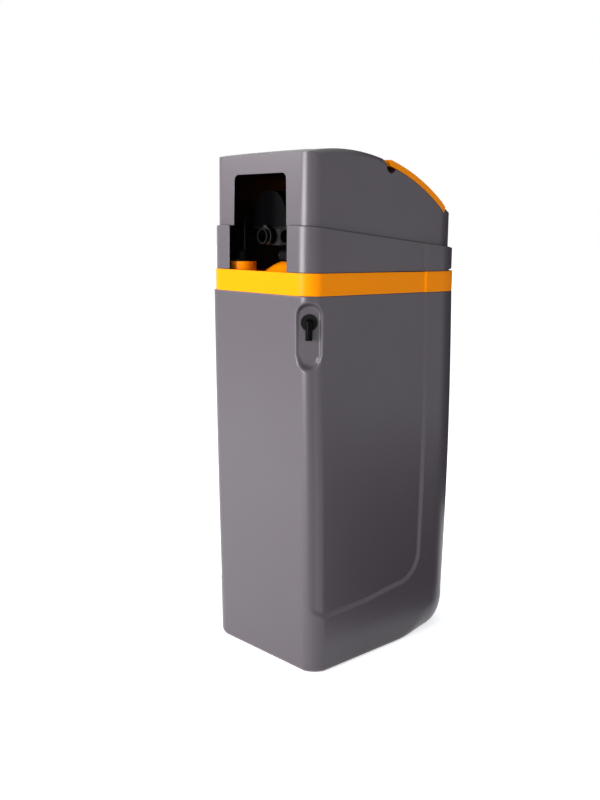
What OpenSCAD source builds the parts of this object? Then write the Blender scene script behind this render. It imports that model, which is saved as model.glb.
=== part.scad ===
// Cabinet water softener: salt cabinet, rim, cover, salt lid, resin tank and control valve.
// Front faces -Y, pipes leave at +Y, +Z is up, origin at the middle of the footprint on the floor.

/* [Cabinet] */
// Width across the inset side panels
cabinet_w = 322; // [310:1:350]
// Depth from the rear face to the middle of the bowed front
cabinet_d = 508; // [490:1:540]
// Height of the top edge of the cabinet
cabinet_h = 800; // [780:1:860]
// Wall of the moulded cabinet
wall = 4; // [3:0.5:5]
// How far the front and the skirt stand proud of the side panels
flank_step = 4.5; // [3:0.5:6]
// Radius of the rear corners in plan
rear_r = 40; // [36:1:46]
// Radius of the front corners in plan
front_r = 100; // [80:1:120]
// Radius of the bow across the front
bow_r = 570; // [450:10:800]
// Lean of the rear face towards the foot, in degrees
rear_lean = 1.55; // [1:0.05:1.8]
// Distance of the side crease from the rear face
crease_t = 347; // [330:1:360]
// Height of the skirt under the side panels
skirt_h = 131; // [110:1:150]
// Radius of the lower front corner of a side panel
panel_r = 70; // [40:1:90]
// Rounding of the bottom edges
foot_r = 18; // [8:1:24]
// Thickness of the base
base_t = 6; // [4:0.5:10]

/* [Overflow] */
// Half width of the corner pocket
pocket_half = 27; // [24:0.5:28]
// Height of the lower end of the pocket
pocket_z = 649; // [600:1:660]
// Length of the pocket
pocket_len = 141; // [130:1:145]
// Depth of the pocket floor under the rounded corner
pocket_depth = 16; // [14:0.5:18]
// Distance of the overflow axis from the upper end of the pocket
overflow_drop = 43; // [36:1:50]
// Outer radius of the overflow spout
spout_r = 7; // [6:0.5:8]
// Length of the spout below its axis
spout_len = 35; // [28:1:40]

/* [Rim and cover ring] */
// Height of the rim band
band_h = 45; // [38:1:52]
// Thickness of the rim band
band_t = 7; // [6:0.5:9]
// Height of the deck above the bottom of the band
deck_rise = 36; // [30:1:40]
// Thickness of the deck
deck_t = 4; // [3:0.5:5]
// Set back of the cover ring from the band
ring_inset = 2; // [1:0.5:3]
// Wall of the cover ring
ring_t = 3.5; // [3:0.5:4]
// Height of the cover ring at the rear
ring_h = 93; // [85:1:100]
// Slope of the seam towards the front, in degrees
seam_slope = 5.1; // [3:0.1:6]
// Width of the pipe opening in the cover ring
ring_gate_w = 182; // [172:1:190]

/* [Hood and salt lid] */
// Set back of the hood from the band
hood_inset = 8; // [7:0.5:9]
// Wall of the hood
hood_t = 4; // [3.5:0.5:4.5]
// Radius of the arc that the hood's side edge follows
arc_r = 481; // [470:1:490]
// Distance of the arc's centre from the rear face
arc_t = 116.5; // [110:0.5:122]
// Rise of the hood's side edge at its highest point, above the cover ring's rear edge
arc_rise = 136.6; // [132:0.1:150]
// Rounding of the hood's upper side edges
brow_r = 17; // [14:1:20]
// Rise of the crown across the width
crown_h = 1.5; // [1:0.5:5]
// Width of the pipe opening in the hood, at its top
gate_w = 162; // [150:1:170]
// Height of the pipe opening in the hood
gate_h = 103; // [95:1:110]
// Distance of the lid's upper edge from the rear face
lid_t0 = 236; // [230:1:242]
// Height of the lid's side edges above the hood's side arc
lid_edge = 18; // [16:0.5:20]
// Rise of the lid's seat above the hood's side arc
seat_rise = 5; // [3:0.5:7]
// Wall of the lid
lid_wall = 3; // [2.5:0.5:3.5]
// Radius of the hinge groove
groove_r = 15; // [14:0.5:17]
// Radius of the hinge pins
pin_r = 2.5; // [2:0.25:3]
// Width of the salt filling hole
fill_w = 224; // [190:2:236]
// Length of the salt filling hole
fill_len = 138; // [110:2:142]
// Distance of the lid's lower edge from the rear face
lid_t1 = 417; // [412:1:422]

/* [Control panel] */
// Width of the control panel
panel_w = 150; // [140:2:180]
// Length of the control panel
panel_len = 84; // [80:1:95]
// Width of the display lens
lens_w = 112; // [90:2:120]
// Length of the display lens
lens_len = 34; // [28:1:38]
// Width of a button
button_w = 24; // [18:1:26]
// Length of a button
button_len = 11; // [9:0.5:13]
// Travel of a button
button_travel = 1.2; // [0.8:0.1:1.5]

/* [Resin tank] */
// Outer radius of the resin tank
tank_r = 101.6; // [96:0.2:104]
// Wall of the resin tank
tank_wall = 4; // [3:0.5:6]
// Distance of the tank axis from the rear face
tank_t = 131; // [130:1:136]
// Radius of the tank neck
neck_r = 40; // [36:1:44]
// Radius of the riser tube
riser_r = 13.5; // [12:0.5:15]
// Depth of the resin bed
bed_h = 520; // [400:10:600]

/* [Valve] */
// Height of the pipe port axis above the top of the rim
port_z = 71; // [68:1:76]
// Distance of each pipe port from the middle
port_x = 36; // [34:0.5:38]
// Distance of the port mouths from the rear face
port_t = 46; // [40:1:52]
// Outer radius of a pipe port
port_r = 17; // [15:0.5:18]
// Bore radius of a pipe port
port_bore = 11; // [10:0.5:12.5]
// Radius of the push-in socket at a port mouth
socket_r = 13; // [12.5:0.25:13.5]
// Depth of the push-in socket
socket_len = 20; // [16:1:21]
// Half width of the arched valve cover
cover_half = 52; // [50:0.5:54]
// Height of the valve cover above the top of the rim
cover_top = 167; // [160:1:172]
// Module of the gear teeth
gear_m = 1.5; // [1.4:0.05:1.6]
// Teeth on the cam gear
gear_teeth = 52; // [48:1:54]
// Teeth on the motor pinion
pinion_teeth = 10; // [10:1:12]

/* [Brine well] */
// Distance of the brine well's axis from the valve cover
well_gap = 17; // [14:0.5:20]
// Distance of the brine well from the rear face
well_t = 50; // [48:0.5:52]
// Outer radius of the brine well tube
well_r = 18; // [15:0.5:19]
// Radius of the well collar on the deck
collar_r = 30; // [27:0.5:32]
// Height of the well collar
collar_h = 26; // [20:1:30]

/* [Fits] */
// Gap at a turning fit
run_fit = 0.05; // [0.03:0.01:0.1]
// Gap between pieces that are fitted together
seat_fit = 0.3; // [0.2:0.05:0.5]

/* [Hidden] */
$fn = 64;
fine_fn = 360;
half = cabinet_w / 2;
proud = half + flank_step;
y_rear = cabinet_d / 2;
y_front = -cabinet_d / 2;
crease_y = y_rear - crease_t;
bow_y = y_front + bow_r;
bow_gap = 0.03;
corner_x = proud - front_r;
corner_y = bow_y - sqrt(pow(bow_r - front_r, 2) - corner_x * corner_x);
bow_dir = [corner_x, corner_y - bow_y] / (bow_r - front_r);
reach = 2 * cabinet_d;
rim_z = cabinet_h + band_h;
deck_z = cabinet_h + deck_rise;
lip_h = 12;
lip_t = 3;
lip_fit = 2 * seat_fit;
seam_z = rim_z + ring_h;
flange_t = 4;
flange_d = hood_inset + flank_step + hood_t + 2;
relief_h = 4;
lug_d = 11;
lug_h = 16;
pocket_axis_z = pocket_z + pocket_len - overflow_drop;
floor_n = rear_r - pocket_depth;
grommet_r = 17;
grommet_neck = 12;
arc_y = y_rear - arc_t;
arc_z = seam_z + arc_rise - arc_r;
crest_z = arc_z + arc_r + brow_r + crown_h;
hood_half = half - hood_inset;
brow_x = hood_half + 0.4 - brow_r;
lid_y = y_rear - lid_t0;
axis_y = lid_y - 4;
axis_up = 6.5;
axis_z = arc_z + sqrt(pow(arc_r + axis_up, 2) - pow(axis_y - arc_y, 2));
step_y = axis_y + groove_r + 3.5;
nose_c = 12;
nose_y = y_rear - lid_t1;
nose_z = arc_z + sqrt(arc_r * arc_r - pow(nose_y - arc_y, 2));
lid_reach = norm([axis_y - nose_y, axis_z - nose_z]);
ear_x = 60;
ear_w = 8;
arm_w = 6;
ear_r = 5.5;
tank_y = y_rear - tank_t;
salt_y = tank_y - tank_r - 14;
boot_h = 55;
boot_t = 5;
dome_h = 58;
neck_z = deck_z + 36;
tank_z = base_t + boot_t;
shoulder_z = neck_z - 22;
valve_z = rim_z + port_z;
port_y = y_rear - port_t;
rotor_x = port_x;
rotor_y = tank_y + 15;
chamber_r = 46;
gear_z = valve_z + 26;
gear_h = 8;
gear_r = gear_m * gear_teeth / 2;
pinion_r = gear_m * pinion_teeth / 2;
motor_y = rotor_y - gear_r - pinion_r - gear_m * 0.1;
motor_r = 24;
plate_z = gear_z + gear_h + 5;
plate_t = 2.5;
cover_t = 2.5;
cover_z = valve_z + 20;
cover_y0 = motor_y - motor_r - 8;
cover_y1 = rotor_y + gear_r + gear_m + 9;
spring_z = rim_z + cover_top - cover_half;
shaft_r = 7;
well_x = rotor_x + cover_half + well_gap;
well_y = y_rear - well_t;
well_z = 45;
cap_h = 22;
stem_r = 5;
float_z = well_z + 44 + seat_fit;
float_r = well_r - 4;
tube_r = 4.5;
tube_x = well_x - 8;
tube_bend = 20;
tube_top = valve_z + 46;
venturi_r = 16;
venturi_x = rotor_x + cover_half + venturi_r + 2;
venturi_y = rotor_y + 4;
cap_t = 3;
post_r = 2.2;
post_d = gear_r + gear_m + post_r + 0.5;
venturi_z = tube_top;
screw_r = 3;
turbine_y = tank_y + 26;
fill_r = 20;
beyond = 20;
button_y = -panel_len / 2 + button_len / 2 + 9;
button_pitch = button_w + 6;
lens_y = panel_len / 2 - lens_len / 2 - 10;
tub_h = 16;
board_t = 1.6;

grey = "#6f7072";
orange = "#ef8a1d";
black = "#1c1c1e";

// Plan outlines

// Rear of the plan: straight flanks and round rear corners, drawn in by d
module rear_plan(h, r, d) {
    translate([-(h - d), corner_y])
        square([2 * (h - d), y_rear - r - corner_y]);
    translate([-(h - r), corner_y])
        square([2 * (h - r), y_rear - d - corner_y]);
    for (s = [-1, 1])
        translate([s * (h - r), y_rear - r])
            circle(r - d);
}

// Sector of the front corner on side s, from the flank round to just past the bow's start
module front_corner(s, d) {
    past = 5;
    turn = atan2(bow_dir[1], bow_dir[0]) - past;
    translate([s * corner_x, corner_y])
        intersection() {
            circle(front_r - d);
            polygon([[0, 0], [s * reach, 0], [s * reach, -reach], [s * cos(turn) * reach, sin(turn) * reach]]);
        }
}

// Front of the plan: bevelled crease, flanks, round corners and the bowed front, drawn in by d
module front_plan(d) {
    root = flank_step + 2;
    polygon([[-(proud - d), corner_y], [-(proud - d), crease_y - flank_step],
        [-(proud - d - root), crease_y - flank_step + root], [proud - d - root, crease_y - flank_step + root],
        [proud - d, crease_y - flank_step], [proud - d, corner_y]]);
    for (s = [-1, 1])
        front_corner(s, d);
    intersection() {
        translate([0, bow_y + bow_gap])
            circle(bow_r - d);
        bow_wedge();
    }
}

// Wedge of the plan between the two front corners
module bow_wedge() {
    polygon([[-corner_x, corner_y], [-corner_x - bow_dir[0] * reach, corner_y + bow_dir[1] * reach],
        [corner_x + bow_dir[0] * reach, corner_y + bow_dir[1] * reach], [corner_x, corner_y]]);
}

// Whole plan of the rim and covers, drawn in by d
module plan(d) {
    rear_plan(half, rear_r, d);
    front_plan(d);
}

// Plan of the hood and the lid, whose flanks run on without a step, drawn in by d
module hood_plan(d) {
    rear_plan(half, rear_r, d);
    front_plan(d + flank_step);
}

// Upright prism of the hood's plan
module hood_prism(d, z1) {
    translate([0, 0, rim_z])
        linear_extrude(z1 - rim_z)
            hood_plan(d);
}

// Upright prism of the plan
module prism(d, z0, z1) {
    translate([0, 0, z0])
        linear_extrude(z1 - z0)
            plan(d);
}

// Wall of the plan between two insets
module band(d0, d1, z0, z1) {
    difference() {
        prism(d0, z0, z1);
        prism(d1, z0 - 1, z1 + 1);
    }
}

// Rear of the cabinet, leaning forward towards the foot
module lean_rear(h, r, d) {
    translate([0, y_rear, cabinet_h])
        rotate([-rear_lean, 0, 0])
            translate([0, -y_rear, -cabinet_h - 40])
                linear_extrude(cabinet_h + 80)
                    rear_plan(h, r, d);
}

// Space below the sloping seam, moved up by g
module below_seam(g) {
    translate([0, y_rear, seam_z + g])
        rotate([seam_slope, 0, 0])
            translate([-reach / 2, -2 * cabinet_d, -cabinet_h])
                cube([reach, 3 * cabinet_d, cabinet_h]);
}

// Profile in Y and Z carried across the whole width
module across(w) {
    rotate([90, 0, 90])
        translate([0, 0, -w / 2])
            linear_extrude(w)
                children();
}

// Cylinder along X, centred
module bar_x(r, w, sides = $fn) {
    rotate([0, 90, 0])
        cylinder(r = r, h = w, center = true, $fn = sides);
}

// Cylinder along Y from y = 0
module bar_y(r, len) {
    rotate([-90, 0, 0])
        cylinder(r = r, h = len);
}

// Rectangle with round corners, centred
module round_rect(w, l, r) {
    square([w - 2 * r, l], center = true);
    square([w, l - 2 * r], center = true);
    for (sx = [-1, 1], sy = [-1, 1])
        translate([sx * (w / 2 - r), sy * (l / 2 - r)])
            circle(r);
}

// Cabinet and overflow

module skirt_profile() {
    translate([crease_y - flank_step, -1])
        square([cabinet_d, skirt_h + 1]);
    difference() {
        translate([crease_y - flank_step, 0])
            square([panel_r + flank_step, skirt_h + panel_r]);
        translate([crease_y - 1 + panel_r, skirt_h + panel_r])
            circle(panel_r);
    }
}

module foot_round(w0, w1) {
    translate([w0, foot_r])
        square([w1 - w0, cabinet_h - foot_r]);
    translate([w0 + foot_r, 0])
        square([w1 - w0 - 2 * foot_r, cabinet_h]);
    for (w = [w0 + foot_r, w1 - foot_r])
        translate([w, foot_r])
            circle(foot_r);
}

module cabinet_form() {
    lean_in = cabinet_h * tan(rear_lean);
    intersection() {
        union() {
            lean_rear(half, rear_r, 0);
            intersection() {
                lean_rear(proud, rear_r + flank_step, 0.5);
                across(reach)
                    skirt_profile();
            }
            translate([0, 0, -1])
                linear_extrude(cabinet_h + 2)
                    front_plan(0);
        }
        rotate([90, 0, 0])
            translate([0, 0, -cabinet_d])
                linear_extrude(2 * cabinet_d)
                    foot_round(-proud - 1, proud + 1);
        across(reach) {
            foot_round(y_front - 1, y_rear - lean_in + 3);
            translate([0, 2 * foot_r])
                square([y_rear + 10, cabinet_h - 2 * foot_r]);
        }
    }
}

// Places its children on the corner diagonal, with X pointing out of the corner
module on_corner() {
    translate([-(half - rear_r), y_rear - rear_r, 0])
        rotate([0, 0, 135])
            children();
}

module pocket_outline(e) {
    translate([0, pocket_z + pocket_half])
        circle(pocket_half + e);
    translate([-pocket_half - e, pocket_z + pocket_half])
        square([2 * (pocket_half + e), pocket_len - 2 * pocket_half]);
    translate([0, pocket_z + pocket_len - pocket_half])
        circle(pocket_half + e);
}

module pocket_block(e, n0, n1) {
    on_corner()
        rotate([90, 0, 90])
            translate([0, 0, n0])
                linear_extrude(n1 - n0)
                    pocket_outline(e);
}

module cabinet_shell() {
    color(grey)
        difference() {
            union() {
                difference() {
                    cabinet_form();
                    intersection() {
                        union() {
                            lean_rear(half, rear_r, wall);
                            linear_extrude(cabinet_h + 2)
                                front_plan(wall);
                        }
                        translate([-cabinet_w, -cabinet_d, base_t])
                            cube([2 * cabinet_w, 2 * cabinet_d, cabinet_h]);
                    }
                }
                intersection() {
                    cabinet_form();
                    pocket_block(wall, floor_n - wall, rear_r + beyond);
                }
            }
            pocket_block(0, floor_n, rear_r + 30);
            on_corner()
                translate([0, 0, pocket_axis_z])
                    bar_x(grommet_neck + seat_fit / 2, 2 * rear_r);
        }
}

module overflow_grommet() {
    flange = 3;
    color(black)
        on_corner()
            translate([floor_n, 0, pocket_axis_z])
                rotate([0, 90, 0])
                    difference() {
                        union() {
                            cylinder(r = grommet_r, h = flange);
                            translate([0, 0, -wall - flange])
                                cylinder(r = grommet_neck, h = wall + flange + 1);
                            translate([0, 0, -wall - flange])
                                cylinder(r1 = grommet_neck, r2 = grommet_neck + 2, h = flange);
                        }
                        translate([0, 0, -rear_r])
                            cylinder(r = spout_r + run_fit, h = 2 * rear_r);
                    }
}

module overflow_elbow() {
    out_n = floor_n + 3 + spout_r + seat_fit;
    color(black)
        on_corner()
            translate([0, 0, pocket_axis_z])
                difference() {
                    union() {
                        translate([out_n, 0, 0])
                            sphere(spout_r);
                        translate([out_n, 0, -spout_len])
                            cylinder(r = spout_r, h = spout_len);
                        rotate([0, 90, 0])
                            cylinder(r = spout_r, h = out_n);
                        translate([out_n, 0, -spout_len])
                            rotate_extrude()
                                translate([spout_r - 0.2, 3])
                                    circle(1);
                    }
                    translate([out_n, 0, -spout_len - 1])
                        cylinder(r = spout_r - 2, h = spout_len + 1);
                    translate([-1, 0, 0])
                        rotate([0, 90, 0])
                            cylinder(r = spout_r - 2, h = out_n + 1);
                }
}

// Rim, deck and cover ring

module rim_deck() {
    dome_r = neck_r + 4;
    dome_base = 2 * dome_r;
    dome_rise = neck_z - deck_z - 8;
    dome_drop = (dome_base * dome_base - dome_r * dome_r - dome_rise * dome_rise) / (2 * dome_rise);
    ball_r = sqrt(dome_base * dome_base + dome_drop * dome_drop);
    color(orange)
        difference() {
            union() {
                difference() {
                    union() {
                        prism(0, cabinet_h, rim_z);
                        prism(wall + lip_fit, cabinet_h - lip_h, cabinet_h + 1);
                    }
                    prism(band_t, deck_z, rim_z + 1);
                    prism(wall + lip_fit + lip_t, cabinet_h - lip_h - 1, deck_z - deck_t);
                    translate([0, 0, cabinet_h])
                        linear_extrude(band_h)
                            intersection() {
                                plan(band_t + 12);
                                translate([-cabinet_w, salt_y - cabinet_d])
                                    square([2 * cabinet_w, cabinet_d]);
                            }
                }
                on_ring_lugs()
                    translate([-6, -6, deck_z - 0.5])
                        cube([12, 12, rim_z - deck_z + 0.5]);
                intersection() {
                    translate([0, tank_y, deck_z - dome_drop])
                        sphere(ball_r);
                    translate([0, tank_y, deck_z - 0.5])
                        cylinder(r = dome_base + 10, h = dome_rise + 0.5);
                }
                translate([well_x, well_y, deck_z - 0.5])
                    cylinder(r = collar_r, h = collar_h + 0.5);
            }
            intersection() {
                translate([0, tank_y, deck_z - dome_drop])
                    sphere(ball_r - deck_t);
                translate([0, tank_y, deck_z - deck_t - 1])
                    cylinder(r = dome_base - 2 * deck_t, h = dome_rise);
            }
            translate([0, tank_y, deck_z])
                cylinder(r = neck_r + seat_fit, h = band_h);
            translate([well_x, well_y, deck_z - deck_t - 1])
                cylinder(r = well_r + seat_fit, h = collar_h + band_h);
            translate([well_x, well_y, deck_z + collar_h - 10])
                cylinder(r = collar_r - 4, h = band_h);
            pocket_block(wall + lip_fit, floor_n - wall - lip_fit, rear_r + beyond);
            ring_screw_holes();
        }
}

// Places its children at the four lugs that hold the cover ring
module on_ring_lugs() {
    for (s = [-1, 1], t = [0.35, 0.8])
        translate([s * (half - lug_d), y_rear - crease_t * t, 0])
            children();
}

module cover_ring() {
    color(grey)
        difference() {
            intersection() {
                union() {
                    band(ring_inset, ring_inset + ring_t, rim_z, seam_z + 1);
                    difference() {
                        band(ring_inset, flange_d, rim_z, seam_z + 1);
                        below_seam(-flange_t);
                    }
                    on_ring_lugs()
                        translate([-6, -6, rim_z])
                            cube([12, 12, lug_h]);
                }
                below_seam(0);
            }
            translate([-ring_gate_w / 2, y_rear - rear_r, rim_z - 1])
                cube([ring_gate_w, 2 * rear_r, cabinet_h]);
            translate([-cabinet_w, y_front - 1, rim_z - 1])
                cube([2 * cabinet_w, corner_y - y_front - front_r / 3, relief_h + 1]);
            ring_screw_holes();
        }
}

module ring_screw_holes() {
    on_ring_lugs()
        translate([0, 0, deck_z + 1])
            cylinder(r = screw_r - 1, h = rim_z + lug_h - deck_z);
}

module ring_screws() {
    color("silver")
        on_ring_lugs() {
            translate([0, 0, rim_z + lug_h])
                cylinder(r = screw_r, h = 3);
            translate([0, 0, deck_z + 2])
                cylinder(r = screw_r - 1.02, h = rim_z + lug_h - deck_z - 1);
        }
}

// Hood, salt lid and control panel

// Cross section of the hood's upper form: brow roundings and crown, grown by g
module crown_section(g) {
    n = 12;
    low = arc_r / 2;
    polygon(concat(
        [[low, -brow_x], [arc_r + brow_r + g, -brow_x]],
        [for (i = [1 : n - 1])
            let (x = brow_x * (2 * i / n - 1))
            [arc_r + brow_r + g + crown_h * (1 - pow(x / brow_x, 2)), x]],
        [[arc_r + brow_r + g, brow_x], [low, brow_x]]));
    translate([low, -brow_x - brow_r - g])
        square([arc_r - low, 2 * (brow_x + brow_r + g)]);
    for (s = [-1, 1])
        translate([arc_r, s * brow_x])
            circle(brow_r + g);
}

// Cross section of the lid's upper form, grown by g
module lid_section(g) {
    n = 12;
    low = arc_r / 2;
    wide = hood_half + 5;
    polygon(concat(
        [[low, -wide]],
        [for (i = [0 : n])
            let (x = wide * (2 * i / n - 1))
            [arc_r + lid_edge + g + (brow_r + crown_h - lid_edge) * (1 - pow(x / wide, 2)), x]],
        [[low, wide]]));
}

// Form turned about the hood's cross axis
module turned() {
    translate([0, arc_y, arc_z])
        rotate([0, 90, 0])
            rotate_extrude($fn = fine_fn)
                children();
}

// Plain roll under the lid, grown by g
module roll(g) {
    translate([0, arc_y, arc_z])
        bar_x(arc_r + seat_rise + g, reach, fine_fn);
}

// Half space behind the plane y
module behind(y) {
    translate([-reach / 2, y, 0])
        cube([reach, reach, 3 * cabinet_h]);
}

// Half space in front of the plane y
module ahead(y) {
    translate([-reach / 2, y - reach, 0])
        cube([reach, reach, 3 * cabinet_h]);
}

// Swing of the lid's front edge about its hinge, grown by g
module lid_sweep(g) {
    translate([0, axis_y, axis_z])
        bar_x(lid_reach + g, reach, fine_fn);
}

// Solid under the hood's skin, with its walls moved in by t
module hood_form(t) {
    intersection() {
        hood_prism(hood_inset + t, crest_z + beyond);
        union() {
            intersection() {
                roll(-t);
                ahead(step_y + t);
            }
            intersection() {
                turned()
                    crown_section(-t);
                behind(step_y + t);
            }
            difference() {
                nose_form(t);
                lid_sweep(seat_fit + t);
                behind(axis_y);
            }
        }
    }
}

// Nose in front of the lid, chamfered round its upper edge, with its walls moved in by t
module nose_form(t) {
    d = hood_inset + flank_step + t;
    slope_z = nose_z + lid_edge - t - nose_c;
    hood_prism(hood_inset + t, slope_z);
    for (s = [-1, 1])
        translate([s * corner_x, corner_y, slope_z - 1])
            cone_edge(front_r - d);
    intersection() {
        translate([0, bow_y + bow_gap, slope_z - 1])
            cone_edge(bow_r - d);
        translate([0, 0, rim_z])
            linear_extrude(cabinet_h)
                bow_wedge();
    }
    translate([-corner_x, corner_y - front_r / 2, slope_z - 1])
        cube([2 * corner_x, front_r, nose_c + 1]);
}

// Disc with a sloping edge, standing 1 mm deep in what carries it
module cone_edge(r) {
    cylinder(r = r, h = 1);
    translate([0, 0, 1])
        cylinder(r1 = r, r2 = r - nose_c, h = nose_c);
}

module hood_gate() {
    r = 12;
    low = (ring_gate_w + gate_w) / 4 - 1;
    top = gate_w / 2;
    translate([0, y_rear + beyond, seam_z])
        rotate([90, 0, 0])
            linear_extrude(beyond + rear_r) {
                polygon([[-low, -ring_h], [low, -ring_h], [top, gate_h - r], [-top, gate_h - r]]);
                translate([-top + r, 0])
                    square([2 * (top - r), gate_h]);
                for (s = [-1, 1])
                    translate([s * (top - r), gate_h - r])
                        circle(r);
            }
}

// Places its children on the middle of the control panel, at the height of the crest
module on_panel(x, y) {
    translate([x, arc_y + y, crest_z])
        children();
}

// Plate under the crown between two depths, cut to an outline
module crown_plate(top, bottom) {
    difference() {
        intersection() {
            on_panel(0, 0)
                translate([0, 0, -30])
                    linear_extrude(60)
                        children();
            turned()
                crown_section(top);
        }
        turned()
            crown_section(bottom);
    }
}

module hood() {
    ledge = 3;
    color(grey)
        difference() {
            union() {
                difference() {
                    hood_form(0);
                    hood_form(hood_t);
                    hood_gate();
                }
                intersection() {
                    hood_form(0);
                    translate([0, axis_y, axis_z])
                        bar_x(groove_r + 3, reach);
                }
                for (s = [-1, 1])
                    translate([s * (ear_x + ear_w / 2), axis_y, axis_z])
                        hinge_ear();
            }
            difference() {
                translate([0, axis_y, axis_z])
                    bar_x(groove_r, reach);
                for (s = [-1, 1])
                    translate([s * (ear_x + ear_w / 2), axis_y, axis_z])
                        hinge_ear();
            }
            translate([0, axis_y, axis_z])
                bar_x(pin_r, 2 * (ear_x + ear_w + 1));
            below_seam(seat_fit);
            translate([0, axis_y - groove_r - 8 - fill_len / 2, seam_z])
                linear_extrude(cabinet_h)
                    round_rect(fill_w, fill_len, fill_r);
            difference() {
                on_panel(0, 0)
                    translate([0, 0, -hood_t * 4])
                        linear_extrude(hood_t * 8)
                            round_rect(panel_w + seat_fit, panel_len + seat_fit, 10);
                turned()
                    crown_section(-hood_t * 0.6);
            }
            on_panel(0, 0)
                translate([0, 0, -hood_t * 4])
                    linear_extrude(hood_t * 8)
                        round_rect(panel_w - 2 * ledge, panel_len - 2 * ledge, 8);
        }
}

module hinge_ear() {
    bar_x(ear_r, ear_w);
    translate([-ear_w / 2, -ear_r + 0.5, -groove_r - 1.5])
        cube([ear_w, 2 * ear_r - 1, groove_r + 1.5]);
}

module hinge_pins() {
    color("silver")
        for (s = [-1, 1])
            translate([s * (ear_x + (ear_w + arm_w) / 2 + 0.5), axis_y, axis_z])
                bar_x(pin_r - 0.02, ear_w + arm_w - 1);
}

module salt_lid() {
    color(orange)
        difference() {
            union() {
                difference() {
                    intersection() {
                        hood_prism(hood_inset, crest_z + beyond);
                        turned()
                            lid_section(0);
                        ahead(lid_y);
                        lid_sweep(0);
                    }
                    roll(seat_fit);
                    intersection() {
                        hood_prism(hood_inset + lid_wall, crest_z + beyond);
                        turned()
                            lid_section(-lid_wall);
                        ahead(lid_y - lid_wall);
                        lid_sweep(-lid_wall);
                    }
                }
                intersection() {
                    for (s = [-1, 1])
                        translate([s * (ear_x + ear_w + arm_w / 2 + seat_fit), axis_y, axis_z]) {
                            bar_x(ear_r, arm_w);
                            translate([-arm_w / 2, -4 * ear_r, 0])
                                cube([arm_w, 4 * ear_r + 2.5, 3 * ear_r]);
                        }
                    turned()
                        lid_section(-1);
                }
            }
            for (s = [-1, 1])
                translate([s * (ear_x + ear_w / 2), axis_y, axis_z]) {
                    translate([-ear_w / 2 - seat_fit, -ear_r - 2, -3 * ear_r])
                        cube([ear_w + 2 * seat_fit, ear_r + 10, 3 * ear_r + ear_r + 2]);
                }
            for (s = [-1, 1])
                translate([s * (ear_x + ear_w + arm_w / 2), axis_y, axis_z])
                    bar_x(pin_r + run_fit, arm_w + 3);
            difference() {
                behind(axis_y - 2);
                translate([0, axis_y, axis_z])
                    bar_x(groove_r - 2 * seat_fit, reach);
            }
        }
}

module panel_bezel() {
    color(black) {
        difference() {
            union() {
                crown_plate(0.6, -hood_t * 0.6 + 0.1)
                    round_rect(panel_w, panel_len, 10);
                difference() {
                    on_panel(0, 0)
                        translate([0, 0, -tub_h])
                            linear_extrude(tub_h)
                                difference() {
                                    round_rect(panel_w - 7, panel_len - 7, 7);
                                    round_rect(panel_w - 11, panel_len - 11, 5);
                                }
                    turned_above(-1);
                }
                difference() {
                    for (sx = [-1, 1], sy = [-1, 1])
                        on_panel(sx * (panel_w / 2 - 10), sy * (panel_len / 2 - 10))
                            translate([0, 0, -tub_h + 2])
                                cylinder(r = 3, h = tub_h);
                    turned_above(-1);
                }
            }
            on_panel(0, lens_y)
                translate([0, 0, -6])
                    linear_extrude(beyond)
                        round_rect(lens_w, lens_len, 4);
            for (i = [0 : 3])
                on_panel((i - 1.5) * button_pitch, button_y)
                    translate([0, 0, -8])
                        linear_extrude(beyond)
                            round_rect(button_w + 2 * seat_fit, button_len + 2 * seat_fit, 3);
        }
    }
}

// Everything outside the crown, grown by g
module turned_above(g) {
    difference() {
        on_panel(0, 0)
            translate([0, 0, -30])
                linear_extrude(80)
                    square([2 * panel_w, 2 * panel_len], center = true);
        turned()
            crown_section(g);
    }
}

module display_lens() {
    color("#20262b")
        crown_plate(0.2, -1.8)
            translate([0, lens_y])
                round_rect(lens_w - 0.1, lens_len - 0.1, 3.95);
}

module circuit_board() {
    color("#2d5a3d") {
        on_panel(0, 0)
            translate([0, 0, -tub_h + 2 - board_t])
                linear_extrude(board_t)
                    round_rect(panel_w - 12, panel_len - 12, 4);
        for (i = [0 : 3])
            on_panel((i - 1.5) * button_pitch, button_y)
                translate([-3, -3, -tub_h + 2 - 0.1])
                    cube([6, 6, 4]);
        on_panel(0, lens_y)
            translate([-lens_w / 2 + 6, -lens_len / 2 + 4, -tub_h + 1.9])
                cube([lens_w - 12, lens_len - 8, 5]);
    }
}

module panel_button(i) {
    stem_z = -tub_h + 2 + 4 + button_travel + 0.2;
    color("#8d9094")
        on_panel((i - 1.5) * button_pitch, button_y) {
            difference() {
                translate([0, 0, -5])
                    linear_extrude(beyond)
                        round_rect(button_w, button_len, 2.7);
                translate([-(i - 1.5) * button_pitch, -button_y, 0])
                    turned_above_at(1.5);
            }
            translate([-button_w / 2 - 1.5, -button_len / 2 - 1, -7.5])
                cube([button_w + 3, button_len + 2, 1.5]);
            translate([0, 0, -6.5])
                linear_extrude(2)
                    round_rect(button_w, button_len, 2.7);
            translate([0, 0, stem_z])
                cylinder(r = 2, h = -stem_z - 6.5);
        }
}

module turned_above_at(g) {
    translate([0, -arc_y, -crest_z])
        turned_above(g);
}

module panel_button_1() { panel_button(0); }
module panel_button_2() { panel_button(1); }
module panel_button_3() { panel_button(2); }
module panel_button_4() { panel_button(3); }

// Resin tank

module tank_boot() {
    color(black)
        translate([0, tank_y, base_t])
            rotate_extrude()
                difference() {
                    translate([tank_r - 40, 0])
                        square([40, boot_h]);
                    translate([tank_r - 45 - boot_t, boot_t])
                        square([45, boot_h]);
                }
}

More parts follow.
